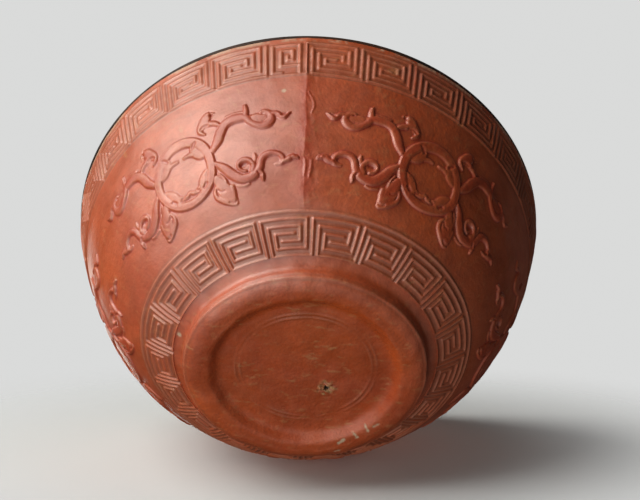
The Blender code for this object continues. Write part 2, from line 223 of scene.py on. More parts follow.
def lineDistance(x, y, metresAcross, fret, lines):
    nearest = np.full(x.shape, farAway)
    for line in lines:
        for (x0, y0), (x1, y1) in zip(line, line[1:]):
            dx = np.maximum(np.maximum(min(x0, x1) - x, x - max(x0, x1)), 0) * metresAcross
            dy = np.maximum(np.maximum(min(y0, y1) - y, y - max(y0, y1)), 0) * fret["step"]
            if y0 == y1:
                dy = dy * fret["thinning"]
            nearest = np.minimum(nearest, np.hypot(dx, dy))
    return nearest


def fretRelief(fret, angle, along, radius):
    up = (along - fret["foot"]) / fret["step"]
    turned = (np.degrees(angle) - fret["first"]) % 360
    unitAngle, width = fret["covered"] / fret["units"], fret["across"]
    across = turned / unitAngle * width
    metres = np.radians(unitAngle / width) * radius
    nearest = np.full(up.shape, farAway)
    for shift in (-width, 0.0, width):
        near = lineDistance(across % width - shift, up, metres, fret, fret["lines"])
        nearest = np.minimum(nearest, near)
    if "shortLines" in fret:
        beyond = across - fret["units"] * width
        short = lineDistance(beyond, up, metres, fret, fret["shortLines"])
        nearest = np.where(turned < fret["covered"], nearest, short)
    return 1 - softStep(nearest, fret["halfWidth"] - fretEdge[0], fret["halfWidth"] + fretEdge[1])


# Roundels and scrolls, in mm from the roundel's middle: across, up and half the width there
roundel = {
    "rise": 32.1 * mm,  # along the wall to the middle
    "angles": [35.0, 107.5, 180.0, 252.5, 325.4],
    "outer": 10.65,
    "inner": 7.75,
    "outerDrop": 0.2,
    "innerDrop": 0.6,
    "tall": 1.03,  # how much taller than wide
    "height": 0.68,
    "swell": 0.06,  # how much fuller the scrolls are than their drawn lines
    "hollow": 0.34,
    "edge": 0.42,  # how far a carved edge slopes
    "hollowEdge": (-0.35, 0.4),
    "rimLine": (0.35, 0.45, 0.1),  # inside the outer edge: place, half width and height
    "sway": 0.14,  # how far its lines stray
    "evenness": (0.95, 0.1),
    "halfAngle": 36.3,  # degrees that one roundel's ornament reaches to each side
}
scrollHeight = {"stem": 0.74, "leaf": 0.66, "thin": 0.44, "inside": 0.76, "faint": 0.22, "low": 0.5}
scrolls = [  # on each side of the roundel: kind, and the stroke's points
    ("stem", [(10.6, 2.3, 0.9), (12.5, 4.5, 1.3), (13.8, 6.9, 1.4), (15.5, 9.0, 1.35), (17.9, 10.0, 1.45),
        (20.3, 10.0, 1.45), (22.0, 9.6, 1.2), (23.2, 7.8, 0.95), (25.2, 6.3, 1.05), (27.3, 6.2, 1.1),
        (28.9, 7.5, 1.05), (29.2, 9.2, 0.9), (28.2, 10.3, 0.8), (26.9, 10.3, 0.6), (26.3, 9.6, 0.35)]),
    ("thin", [(23.4, 9.6, 0.6), (24.6, 8.4, 0.8), (26.2, 7.8, 0.7), (27.5, 8.4, 0.6), (27.7, 9.3, 0.35)]),
    ("stem", [(29.8, 9.6, 0.7), (31.0, 9.4, 0.75), (32.3, 8.1, 0.75), (33.2, 8.4, 0.6),
        (34.8, 9.4, 0.15)]),
    ("stem", [(22.1, 10.2, 0.9), (22.6, 12.0, 0.75), (22.7, 13.7, 0.5)]),
    ("thin", [(16.4, 11.5, 0.3), (19.2, 11.9, 0.4), (21.6, 11.6, 0.4)]),
    ("leaf", [(9.2, 8.4, 0.35), (8.1, 9.5, 0.7), (8.3, 11.0, 1.05), (9.5, 12.2, 1.5), (10.5, 13.4, 1.6),
        (11.2, 14.5, 1.0), (12.3, 14.9, 0.5), (13.4, 14.5, 0.2)]),
    ("leaf", [(10.4, 11.6, 1.1), (12.1, 11.1, 0.9), (13.3, 10.4, 0.8), (14.1, 9.5, 0.45)]),
    ("stem", [(10.4, -2.0, 0.6), (12.2, -4.1, 1.2), (13.6, -6.6, 1.5), (15.8, -8.8, 1.4),
        (18.4, -8.9, 1.2), (20.7, -7.9, 1.0), (22.0, -6.3, 0.95), (22.9, -4.5, 0.9), (24.4, -3.2, 0.85),
        (26.6, -2.9, 0.8), (28.3, -3.8, 0.75), (28.6, -5.2, 0.7), (27.8, -6.2, 0.6), (26.1, -6.6, 0.3)]),
    ("stem", [(28.3, -5.9, 0.6), (29.8, -5.4, 0.7), (31.0, -4.7, 0.7), (32.0, -4.6, 0.8),
        (32.9, -5.2, 0.2)]),
    ("stem", [(21.3, -7.4, 0.8), (21.7, -9.0, 0.7), (21.4, -10.4, 0.35)]),
    ("leaf", [(19.6, -7.3, 0.9), (20.4, -5.9, 0.8), (19.9, -4.3, 0.75), (18.4, -3.5, 0.8),
        (16.8, -3.9, 0.7), (16.1, -5.1, 0.5), (16.6, -6.4, 0.45), (17.7, -6.9, 0.4)]),
    ("thin", [(20.9, -4.7, 0.6), (21.5, -3.5, 0.6), (21.6, -2.4, 0.3)]),
    ("thin", [(14.0, -10.6, 0.3), (15.9, -11.0, 0.35), (17.3, -10.7, 0.3)]),
    ("faint", [(11.7, -2.9, 0.4), (13.0, -3.8, 0.5), (14.0, -5.6, 0.5), (15.0, -7.0, 0.4)]),
    ("leaf", [(8.0, -9.0, 0.45), (7.3, -10.4, 0.6), (7.5, -12.0, 0.75), (8.9, -13.3, 0.95),
        (10.3, -14.1, 1.1), (11.5, -14.6, 1.0), (11.7, -13.3, 0.9), (12.1, -11.7, 0.9),
        (12.3, -10.3, 0.8)]),
    ("leaf", [(9.2, -6.6, 1.2), (9.9, -9.2, 1.9), (10.3, -11.4, 2.2), (10.8, -13.4, 1.7)]),
    ("inside", [(10.4, -5.4, 0.3), (11.2, -6.8, 0.3), (11.4, -8.4, 0.35), (11.0, -10.0, 0.3),
        (9.8, -11.0, 0.3)]),
    ("low", [(24.9, 8.5, 1.7), (27.2, 8.8, 1.5)]),
    ("low", [(7.3, 1.9, 0.8), (6.2, 2.7, 1.4), (5.0, 4.0, 1.4), (4.9, 5.6, 1.4), (5.4, 6.8, 1.0)]),
    ("low", [(4.0, 3.9, 0.8), (2.7, 4.2, 0.6), (1.2, 4.2, 0.5)]),
    ("low", [(7.3, -2.9, 0.6), (6.0, -4.3, 1.3), (5.0, -6.0, 1.6), (4.2, -7.4, 1.0)]),
    ("low", [(3.6, -6.6, 0.7), (2.4, -7.2, 0.7), (1.1, -7.2, 0.6), (0.2, -6.6, 0.5)]),
]
hollows = [  # carved recesses in the strokes
    [(8.3, 10.3, 0.25), (9.4, 11.0, 0.3), (10.8, 10.9, 0.3)],
    [(12.2, 15.4, 0.3), (12.7, 14.7, 0.4), (12.3, 14.0, 0.3)],
    [(10.4, -14.3, 0.3), (11.4, -14.8, 0.4), (12.3, -14.4, 0.3)],
    [(8.4, -9.8, 0.15), (9.0, -10.6, 0.2), (10.0, -10.7, 0.15)],
    [(20.9, -8.0, 0.2), (21.4, -8.8, 0.3)],
    [(26.0, -6.7, 0.2), (27.2, -6.3, 0.3), (28.2, -5.5, 0.2)],
    [(31.0, -4.3, 0.2), (32.1, -4.0, 0.3), (32.5, -4.7, 0.2)],
    [(17.0, -5.1, 0.45), (17.9, -4.8, 0.7), (18.7, -4.4, 0.3)],
    [(26.5, 9.9, 0.3), (27.1, 9.9, 0.3)],
    [(32.2, 8.6, 0.2), (33.7, 9.2, 0.2)],
    [(5.8, 7.0, 0.3), (5.1, 6.4, 0.5), (4.4, 5.6, 0.3)],
    [(6.0, -6.6, 0.45), (5.1, -7.4, 0.4)],
    [(3.0, -7.2, 0.2), (2.2, -7.0, 0.25)],
]
strokeForm = {"margin": 2.5, "steps": 8, "far": 9.0}  # margin and far in mm, steps per stretch
carving = {  # in mm across the edge, and shares of the height
    "flat": 0.76,
    "crown": 0.24,
    "crownWidth": 1.2,
    "foot": 0.55,  # the edge ends this share of its slope outside the line
    "groove": 0.14,
    "grooveWidth": 0.45,
}


def strokeGap(x, y, line):  # which points lie near a stroke, and how far outside its edge, in mm
    route = smoothLine(line, strokeForm["steps"])
    margin = strokeForm["margin"]
    lo, hi = route[:, :2].min(0) - margin, route[:, :2].max(0) + margin
    near = np.nonzero((x > lo[0]) & (x < hi[0]) & (y > lo[1]) & (y < hi[1]))[0]
    gap = np.full(len(near), strokeForm["far"])
    px, py = x[near], y[near]
    for (x0, y0, w0), (x1, y1, w1) in zip(route, route[1:]):
        run = max((x1 - x0) ** 2 + (y1 - y0) ** 2, tiny)
        t = np.clip(((px - x0) * (x1 - x0) + (py - y0) * (y1 - y0)) / run, 0, 1)
        away = np.hypot(px - x0 - t * (x1 - x0), py - y0 - t * (y1 - y0))
        gap = np.minimum(gap, away - w0 - t * (w1 - w0))
    return near, gap


def carvedProfile(gap, edge):  # a low crowned top, a crisp edge and a faint groove round it
    flat = carving["flat"] * (1 - softStep(gap, -edge, carving["foot"] * edge))
    crown = carving["crown"] * softStep(-gap, 0, carving["crownWidth"])
    groove = carving["groove"] * hump(np.abs(gap - carving["grooveWidth"]), carving["grooveWidth"])
    return flat + crown - groove


def circleGap(x, y, drop, radius):  # how far outside one of the roundel's two circles
    return np.hypot(x, (y + drop) / roundel["tall"]) - radius


def roundelRelief(x, y, sway):
    x, y = x / mm + roundel["sway"] * sway[0], y / mm + roundel["sway"] * sway[1]
    side = np.abs(x)
    shape = np.full(x.shape, -1.0)
    groups = {}
    for kind, line in scrolls:
        near, gap = strokeGap(side, y, line)
        nearest = groups.setdefault(kind, np.full(x.shape, strokeForm["far"]))
        nearest[near] = np.minimum(nearest[near], gap - roundel["swell"])
    for kind, nearest in groups.items():
        shape = np.maximum(shape, scrollHeight[kind] * carvedProfile(nearest, roundel["edge"]))
    outside = circleGap(x, y, roundel["outerDrop"], roundel["outer"])
    inside = -circleGap(x, y, roundel["innerDrop"], roundel["inner"])
    place, half, rimHeight = roundel["rimLine"]
    ring = roundel["height"] * carvedProfile(np.maximum(outside, inside), roundel["edge"])
    shape = np.maximum(shape, ring + rimHeight * hump(np.abs(outside + place), half))
    for line in hollows:
        near, gap = strokeGap(side, y, line)
        shape[near] -= roundel["hollow"] * (1 - softStep(gap, *roundel["hollowEdge"]))
    return shape


def offBy(angle):  # up to half a turn either way
    return (angle + math.pi) % (2 * math.pi) - math.pi


def marked(distance, size, edge):  # 1 inside a mark, fading to 0 between two shares of its size
    return 1 - softStep(distance, edge[0] * size, edge[1] * size)


# The mould's joint shows as a ridge up the wall at angle 0, fading at both ends
seam = {
    "place": -0.6 * mm,
    "peak": 0.85 * mm,
    "spread": 5.0 * mm,
    "lowFade": (10.6 * mm, 17.6 * mm),
    "highFade": (58 * mm, 70 * mm),
    "highLoss": 0.5,
    "marks": [  # small ridges left by the joint, in mm: across, along, half width
        [(0.2, 26.4, 0.25), (0.1, 24.4, 0.3), (-0.1, 22.0, 0.2)],
        [(1.6, 26.2, 0.25), (1.5, 24.0, 0.3), (1.3, 21.6, 0.2)],
        [(0.8, 48.4, 0.1), (1.8, 46.0, 0.2), (2.1, 43.6, 0.25), (1.5, 41.0, 0.1)],
    ],
    "markRelief": 0.17,
    "markEdge": (-0.3, 0.35),
    "sway": 0.22 * mm,
    "crumbs": 0.05 * mm,
    "crumbledAt": 1.2 * mm,
    "crumbledReach": 2.6 * mm,
}


def seamRelief(angle, along, radius, points):
    across = offBy(angle) * radius - seam["place"] + seam["sway"] * ripple(points, "seamSway")
    fade = softStep(along, *seam["lowFade"]) * (1 - seam["highLoss"] * softStep(along, *seam["highFade"]))
    height = seam["peak"] * np.exp(-np.abs(across) / seam["spread"]) * fade
    crumbled = hump(across - seam["crumbledAt"], seam["crumbledReach"], power=1.0)
    height += seam["crumbs"] * ripple(points, "seamCrumbs") * crumbled * fade
    for line in seam["marks"]:
        near, gap = strokeGap(across / mm, along / mm, line)
        height[near] += seam["markRelief"] * mm * (1 - softStep(gap, *seam["markEdge"]))
    return height


# The wall: a fret at the bottom and at the top, and the frieze with its roundels between them
frieze = {
    "from": 13.5 * mm,
    "to": 54.2 * mm,
    "ornament": (13.0 * mm, 54.5 * mm),
    "edges": [0.0, 71.25, 143.75, 216.25, 288.75, 360.0],  # degrees where its panels meet
    "spacing": 0.22 * mm,
    "spins": 36,
    "cuts": 10,
}
borderLines = [  # over and under the frieze: place, half width and relief
    (12.15 * mm, 0.62 * mm, 0.4 * mm),
    (54.95 * mm, 0.5 * mm, 0.26 * mm),
]
unevenness = {"broad": 0.12 * mm, "middle": 0.045 * mm, "small": 0.024 * mm, "fine": 0.006 * mm}
upright = (1, 1, 0.45)  # the small unevenness is longer upwards


def friezeRelief(angle, along, radius, points):
    sway = [ripple(points, "swayAcross"), ripple(points, "swayUp")]
    ornament = np.zeros(len(points))
    for turn in roundel["angles"]:
        off = offBy(angle - math.radians(turn))
        here = np.abs(off) < math.radians(roundel["halfAngle"])
        if here.any():
            rise = along[here] - roundel["rise"]
            ornament[here] = roundelRelief(off[here] * radius[here], rise, [s[here] for s in sway])
    return ornament * mm


def skinRelief(angle, along, radius, points):
    height = np.zeros(angle.shape)
    wobble = ripple(points, "relief")
    low = (along > lowerFret["start"]) & (along < frieze["from"])
    for fret, here in ((lowerFret, low), (upperFret, along > frieze["to"])):
        if here.any():
            line = fretRelief(fret, angle[here], along[here], radius[here])
            height[here] += fret["relief"] * line * varied(fret["evenness"], wobble[here])
    for place, half, relief in borderLines:
        height += relief * hump(np.abs(along - place), half)
    here = (along > frieze["ornament"][0]) & (along < frieze["ornament"][1])
    if here.any():
        ornament = friezeRelief(angle[here], along[here], radius[here], points[here])
        height[here] += ornament * varied(roundel["evenness"], wobble[here])
    height += seamRelief(angle, along, radius, points)
    height += unevenness["broad"] * ripple(points, "broad")
    height += unevenness["middle"] * ripple(points, "middle")
    height += unevenness["small"] * ripple(points * upright, "small")
    height += unevenness["fine"] * ripple(points, "fine")
    return height


# The base and the foot, in mm
base = {
    "circles": [(20.6, 0.5), (19.2, 0.45)],  # radius and half width
    "circleMiddle": (0.2, -0.8),
    "circleRelief": 0.17,
    "evenness": (0.6, 0.5),
    "reach": 24.0,
    "edgeLine": (34.9, 0.42, 0.26),  # radius, half width and height of the foot's outer edge
    "calm": (3, 12),  # the very middle is smoother
    "rougher": 2,  # than the wall
    "under": 4,  # the base and its marks lie lower than this
    "ring": (29.8, 2.6),  # the bowl stands on it, so nothing there stands out
    "ringReach": 33,
    "ringRelief": 0.6,
}
scar = {  # left by the blossom
    "place": (6.3, 7.3),
    "outline": [(3, 0.6, 0.1), (7, 2.0, 0.07)],  # bumps round it, where they start and how much
    "ragged": 0.1,
    "reach": 2.9,
    "relief": 0.3,
    "sunken": 0.2,
    "edge": (0.7, 1.0),
    "tint": (0.55, 0.7),
    "tintEdge": (0.6, 1.15),
    "hole": 0.85,
    "holeDepth": 1.2,
    "holePower": 0.7,
    "holeEdge": (0.6, 1.2),
}
chips = {  # pale chipped places on the foot
    "lines": [  # x, y and half the width
        [(10.1, 27.6, 0.25), (11.6, 26.1, 0.5)],
        [(14.3, 23.1, 0.15), (15.8, 24.9, 0.3)],
        [(18.0, 20.2, 0.15), (18.9, 22.4, 0.32)],
        [(20.4, 20.6, 0.15), (21.8, 19.4, 0.22)],
        [(9.2, 31.7, 0.12), (10.4, 30.9, 0.2)],
    ],
    "depth": 0.12,
    "ragged": 0.15,
    "edge": (-0.15, 0.35),
}
pinhole = {
    "place": (-36.0, -9.6, 6.75),
    "radius": 0.55,
    "edge": (0.5, 1.1),
    "depth": 1.1,
    "power": 0.6,
    "rim": 1.0,
    "rimEdge": (0.6, 1.1),
}


def gapTo(points, mark):
    return np.linalg.norm(points / mm - mark["place"], axis=1)


def scarGap(points):  # distance from the blossom scar, in mm, with a ragged outline
    x, y = (points[:, k] / mm - scar["place"][k] for k in (0, 1))
    turn = np.arctan2(y, x)
    outline = np.ones(len(points))
    for bumps, start, share in scar["outline"]:
        outline += share * np.sin(bumps * turn + start)
    return np.hypot(x, y) / (outline + scar["ragged"] * ripple(points, "scarOutline"))


def chipMask(points):
    mask = np.zeros(len(points))
    ragged = chips["ragged"] * ripple(points, "chips")
    for line in chips["lines"]:
        near, gap = strokeGap(points[:, 0] / mm, points[:, 1] / mm, line)
        mask[near] = np.maximum(mask[near], 1 - softStep(gap + ragged[near], *chips["edge"]))
    return mask * (points[:, 2] < base["under"] * mm)


def footRelief(angle, along, radius, points):
    away = radius / mm
    height = np.zeros(angle.shape)
    x, y = (points[:, k] / mm - base["circleMiddle"][k] for k in (0, 1))
    for middle, half in base["circles"]:
        line = hump(np.abs(np.hypot(x, y) - middle), half)
        height += base["circleRelief"] * line * varied(base["evenness"], ripple(points, "circles"))
    gap = scarGap(points)
    crumbs = marked(gap, scar["reach"], scar["edge"])
    height += scar["relief"] * crumbs * (scar["sunken"] + ripple(points, "scarCrumbs"))
    height -= scar["holeDepth"] * hump(gap, scar["hole"], scar["holePower"])
    height *= mm * (away < base["reach"])
    middle, half, edgeHeight = base["edgeLine"]
    height += edgeHeight * mm * hump(np.abs(away - middle), half)
    rougher = base["rougher"]
    height += unevenness["broad"] * ripple(points, "broad")
    height += rougher * unevenness["middle"] * ripple(points, "middle") * softStep(away, *base["calm"])
    height += rougher * unevenness["small"] * ripple(points, "footSmall")
    height += unevenness["fine"] * ripple(points, "fine")
    height -= chips["depth"] * mm * chipMask(points)
    height -= pinhole["depth"] * mm * hump(gapTo(points, pinhole), pinhole["radius"], pinhole["power"])
    ring, half = base["ring"]
    tallest = base["ringRelief"] * mm * (1 - hump(np.abs(away - ring), half, power=1.0))
    return np.where(away < base["ringReach"], np.minimum(height, tallest), height)


def readLayer(mesh, name):
    values = np.empty(len(mesh.vertices), np.float32)
    mesh.attributes[name].data.foreach_get("value", values)
    return values.astype(float)


def writeLayer(mesh, name, values):
    layer = mesh.attributes.new(name, "FLOAT", "POINT")
    layer.data.foreach_set("value", values.astype(np.float32))


wear = {  # what stands out is rubbed; lower down, dust settles in the frets and the base, and the frieze's recesses get painted shade
    "rounds": 14,
    "full": 0.12 * mm,
    "friezeStart": (13.5 * mm, 15 * mm),
    "friezeEnd": (52 * mm, 54 * mm),
    "friezeSpared": 0.6,  # the frieze's edges are rubbed less
    "raised": (0.42 * mm, 0.72 * mm),  # the tops of its ornament kept their red
    "outer": -0.01 * mm,
    "drift": 0.5,
}
# Skin rubbed pale just under the lip
lipWear = {"height": (62.5 * mm, 63.5 * mm), "share": 0.6, "usual": 0.45, "fine": 0.5}
# A pale scuffed spot beside the seam, in mm
wallSpot = {"place": (-6.9, -68.4, 44.0), "radius": 0.6, "edge": (0.6, 1.5), "share": 0.75}


def writeMarks(mesh, points):  # masks for the colours of the small marks, and for the painted shade in the scar's pit and the pinhole
    gap, pinGap = scarGap(points), gapTo(points, pinhole)
    onBase = points[:, 2] < base["under"] * mm
    crumbs = marked(gap, scar["reach"], scar["tintEdge"]) * onBase
    crumbs *= varied(scar["tint"], ripple(points, "scarTint"))
    writeLayer(mesh, "scar", np.clip(crumbs, 0, 1))
    pale = np.maximum(chipMask(points), marked(pinGap, pinhole["rim"], pinhole["rimEdge"]))
    spot = marked(gapTo(points, wallSpot), wallSpot["radius"], wallSpot["edge"])
    pale = np.maximum(pale, wallSpot["share"] * spot)
    patchy = lipWear["usual"] + ripple(points, "lipBroad") + lipWear["fine"] * ripple(points, "lipFine")
    rubbed = lipWear["share"] * np.clip(patchy, 0, 1) * softStep(points[:, 2], *lipWear["height"])
    writeLayer(mesh, "chip", np.clip(np.maximum(pale, rubbed), 0, 1))
    # painted shade: the scar's pit and the pinhole are filled near-black
    hole = marked(gap, scar["hole"], scar["holeEdge"]) * onBase
    writeLayer(mesh, "hole", np.maximum(hole, marked(pinGap, pinhole["radius"], pinhole["edge"])))


def writeWear(mesh, first, lift, surroundings):  # masks for rubbed edges, the frieze's raised tops, painted shade in its recesses and settled dust
    offset = lift - surroundings
    onFrieze = softStep(first, *wear["friezeStart"]) * (1 - softStep(first, *wear["friezeEnd"]))
    ridge, dent = (np.clip(side * offset / wear["full"], 0, 1) for side in (1, -1))
    writeLayer(mesh, "ridge", ridge * (1 - wear["friezeSpared"] * onFrieze))
    writeLayer(mesh, "raised", softStep(lift, *wear["raised"]) * onFrieze)
    # painted shade: the frieze's sunken places are darkened to deep red
    writeLayer(mesh, "dent", dent * onFrieze)
    writeLayer(mesh, "dust", dent * (1 - onFrieze))


def evenOut(values, edges):  # each vertex's value drifts to its neighbours'
    count = len(values)
    near = np.maximum(np.bincount(edges.ravel(), minlength=count), 1)
    for _ in range(wear["rounds"]):
        total = np.bincount(edges[:, 0], values[edges[:, 1]], count)
        total += np.bincount(edges[:, 1], values[edges[:, 0]], count)
        values = (1 - wear["drift"]) * values + wear["drift"] * total / near
    return values


def outerEdges(mesh, outer):
    edges = np.empty(len(mesh.edges) * 2, np.int32)
    mesh.edges.foreach_get("vertices", edges)
    edges = edges.reshape(-1, 2)
    return edges[outer[edges].all(axis=1)]


def roundPlace(radius, angle, height):
    return np.stack([radius * np.sin(angle), -radius * np.cos(angle), height], axis=1)


# A body is turned coarsely with bmesh, then every vertex is set on its true circle and carved
def placeRound(mesh, corner, relief=None):
    place = np.empty(len(mesh.vertices) * 3, np.float32)
    mesh.vertices.foreach_get("co", place)
    place = place.reshape(-1, 3).astype(float)
    first, second = readLayer(mesh, "first"), readLayer(mesh, "second")
    angle = np.arctan2(place[:, 0], -place[:, 1])
    radius, height = corner(first, second)
    if relief:
        points = roundPlace(radius, angle, height)
        lift = np.zeros(len(points))
        outer = second > wear["outer"]
        lift[outer] = relief(angle[outer], first[outer], radius[outer], points[outer])
        writeWear(mesh, first, lift, evenOut(lift, outerEdges(mesh, outer)))
        writeMarks(mesh, points)
        radius, height = corner(first, second + lift)
        height = np.maximum(height, 0.0)
    radius = np.clip(radius, 0, bowlForm["rimRadius"])
    place = roundPlace(radius, angle, height)
    mesh.vertices.foreach_set("co", place.astype(np.float32).ravel())
    mesh.update()


turning = {"whole": 359.9, "pole": 1e-6, "merge": 1e-5, "sharp": 70}  # degrees and metres


def turnedBody(name, section, corner, fromAngle=0.0, covered=360.0, spins=60, cuts=3):
    bm = bmesh.new()
    firstLayer = bm.verts.layers.float.new("first")
    secondLayer = bm.verts.layers.float.new("second")
    ring = []
    start = math.radians(fromAngle)
    for first, second in section:
        radius, height = (float(v) for v in corner(first, second))
        radius = max(radius, 0.0)
        point = bm.verts.new((radius * math.sin(start), -radius * math.cos(start), height))
        point[firstLayer], point[secondLayer] = first, second
        ring.append(point)
    closed = ring[0].co.xy.length > turning["merge"]
    pairs = list(zip(ring, ring[1:])) + ([(ring[-1], ring[0])] if closed else [])
    edges = [bm.edges.new(pair) for pair in pairs]
    whole = covered > turning["whole"]
    bmesh.ops.spin(bm, geom=ring + edges, cent=(0, 0, 0), axis=(0, 0, 1),
                   angle=math.radians(covered), steps=spins, use_merge=whole)

    def same(edge, layer):
        return abs(edge.verts[0][layer] - edge.verts[1][layer]) < tiny

    crossing = [e for e in bm.edges if same(e, firstLayer) and same(e, secondLayer)]
    bmesh.ops.subdivide_edges(bm, edges=crossing, cuts=cuts, use_grid_fill=True)
    if not closed:
        poles = [v for v in bm.verts if v.co.xy.length < turning["pole"]]
        bmesh.ops.remove_doubles(bm, verts=poles, dist=turning["merge"])
    if not whole:
        bmesh.ops.holes_fill(bm, edges=[e for e in bm.edges if len(e.link_faces) == 1], sides=0)
    bmesh.ops.recalc_face_normals(bm, faces=bm.faces)
    mesh = bpy.data.meshes.new(name)
    bm.to_mesh(mesh)
    bm.free()
    return mesh


def addObject(name, data):
    thing = bpy.data.objects.new(name, data)
    bpy.context.scene.collection.objects.link(thing)
    return thing


def addPiece(name, mesh, material, node):
    piece = addObject(name, mesh)
    mesh.materials.append(material)
    mesh.shade_smooth()
    mesh.set_sharp_from_angle(angle=math.radians(turning["sharp"]))
    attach(piece, "root")
    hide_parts(node)
    print(name, len(mesh.polygons), "faces")


def rgb(colour):
    return (*colour, 1.0)


def nodeMaker(tree):
    def make(kind, inputs=None, **settings):
        node = tree.nodes.new(kind)
        for key, value in settings.items():
            setattr(node, key, value)
        for key, value in (inputs or {}).items():
            if isinstance(value, bpy.types.NodeSocket):
                tree.links.new(value, node.inputs[key])
            else:
                node.inputs[key].default_value = value
        return node
    return make


def setInputs(node, values):
    for name, value in values.items():
        node.inputs[name].default_value = value


def newMaterial(name):
    material = bpy.data.materials.new(name)
    material.use_nodes = True
    tree = material.node_tree
    return material, tree, tree.nodes["Principled BSDF"], nodeMaker(tree)


def colourMix(make, factor, under, over):
    under = under if isinstance(under, bpy.types.NodeSocket) else rgb(under)
    inputs = {"Factor": factor, 6: under, 7: rgb(over)}
    return make("ShaderNodeMix", inputs, data_type="RGBA").outputs[2]


def times(make, value, factor):
    return make("ShaderNodeMath", {0: value, 1: factor}, operation="MULTIPLY").outputs[0]


def plus(make, value, other):
    return make("ShaderNodeMath", {0: value, 1: other}, operation="ADD").outputs[0]


def mapRange(make, value, given=(0.0, 1.0), wanted=(0.0, 1.0), way="LINEAR"):
    ranges = {"From Min": given[0], "From Max": given[1], "To Min": wanted[0], "To Max": wanted[1]}
    node = make("ShaderNodeMapRange", {"Value": value, **ranges}, interpolation_type=way)
    return node.outputs["Result"]


def length(make, vector):
    return make("ShaderNodeVectorMath", {0: vector}, operation="LENGTH").outputs["Value"]


def objectPlace(make, scale=None):
    place = make("ShaderNodeTexCoord").outputs["Object"]
    if scale is None:
        return place
    return make("ShaderNodeMapping", {"Vector": place, "Scale": scale}).outputs["Vector"]


def noise(make, place, scale, detail, **more):
    inputs = {"Vector": place, "Scale": scale, "Detail": detail, **more}
    return make("ShaderNodeTexNoise", inputs).outputs["Fac"]


def addBump(make, shader, height, look):
    inputs = {"Height": height, "Strength": look["bump"], "Distance": look["bumpDepth"]}
    normal = make("ShaderNodeBump", inputs).outputs["Normal"]
    shader.id_data.links.new(normal, shader.inputs["Normal"])


mottleLook = {"cloudDetail": 5.0, "cloudRoughness": 0.62, "grainDetail": 3.0, "range": (0.33, 0.68)}


def makeMottle():  # soft cloudy patches and fine grain, shared by rind, lacquer and ground coat
    group = bpy.data.node_groups.new("mottle", "ShaderNodeTree")
    for name in ("Cloud", "Grain"):
        group.interface.new_socket(name + " Scale", in_out="INPUT", socket_type="NodeSocketFloat")
        group.interface.new_socket(name, in_out="OUTPUT", socket_type="NodeSocketFloat")
    make = nodeMaker(group)
    given = make("NodeGroupInput").outputs
    place = objectPlace(make)
    look = mottleLook
    cloud = noise(make, place, given["Cloud Scale"], look["cloudDetail"], Roughness=look["cloudRoughness"])
    grain = noise(make, place, given["Grain Scale"], look["grainDetail"])
    cloud, grain = (mapRange(make, value, look["range"]) for value in (cloud, grain))
    make("NodeGroupOutput", {"Cloud": cloud, "Grain": grain})
    return group


mottle = makeMottle()


def placeMottle(make, scales):
    inputs = {"Cloud Scale": scales[0], "Grain Scale": scales[1]}
    outputs = make("ShaderNodeGroup", inputs, node_tree=mottle).outputs
    return outputs["Cloud"], outputs["Grain"]


rindLook = {
    "mid": (0.82, 0.13, 0.012),
    "deep": (0.5, 0.058, 0.005),
    # painted shade: the deep red laid in the frieze's recesses, also laid on its raised tops
    "dent": (0.46, 0.026, 0.005),
    "dust": (0.3, 0.072, 0.022),  # brown settled in the grooves of the frets and the base
    "worn": (0.6, 0.24, 0.14),
    "chip": (0.74, 0.56, 0.38),
    "fleck": (0.62, 0.26, 0.1),
    "scar": (0.62, 0.36, 0.16),
    # painted shade: near-black inside the scar's pit and the pinhole
    "hole": (0.03, 0.012, 0.006),
    "brown": (0.3, 0.044, 0.007),
    "cloudScales": (26.0, 1100.0),  # of the mottle's patches and of its grain
    "patchScales": (150.0, 420.0),
    "blotchScales": (75.0, 500.0),
    "layers": [  # laid on in this order: mask, share (or shares on wall and base) and colour
        ("brush", (0.5, 0.25), "brown"),
        ("grain", 0.22, "deep"),
        # painted shade in the frieze's recesses
        ("dent", 0.85, "dent"),
        ("dust", 0.7, "dust"),
        ("raised", 0.55, "dent"),
        ("rubbed", 0.75, "worn"),
        ("speck", 0.1, "worn"),
        ("blotch", (0.22, 0.45), "brown"),
        ("streaks", (0.6, 1.0), "fleck"),
        ("chip", 0.85, "chip"),
        ("scar", 0.8, "scar"),
        # painted shade in the scar's pit and the pinhole
        ("hole", 1.0, "hole"),
    ],
    "streakMost": 0.8,
    "streakStretch": (260.0, 620.0, 260.0),
    "streakDetail": 3.0,
    "streakRange": (0.58, 0.72),
    "brushStretch": (85.0, 85.0, 190.0),
    "brushDetail": 5.0,
    "brushRoughness": 0.65,
    "brushWarp": 0.4,
    "brushRange": (0.36, 0.64),
    "baseEdge": (30 * mm, 36 * mm),  # the base's duller look fades out across the foot
    "roughness": 0.45,
    "specular": 0.3,
    "coat": (1.0, 0.4),  # on the wall and on the flat of the base
    "coatWorn": 0.56,  # share of the coat left where the skin is rubbed dull
    "raisedDull": 0.6,
    "coatRoughness": 0.5,
    "coatIor": 2.2,
    "bump": 0.4,
    "bumpDepth": 0.2 * mm,
}


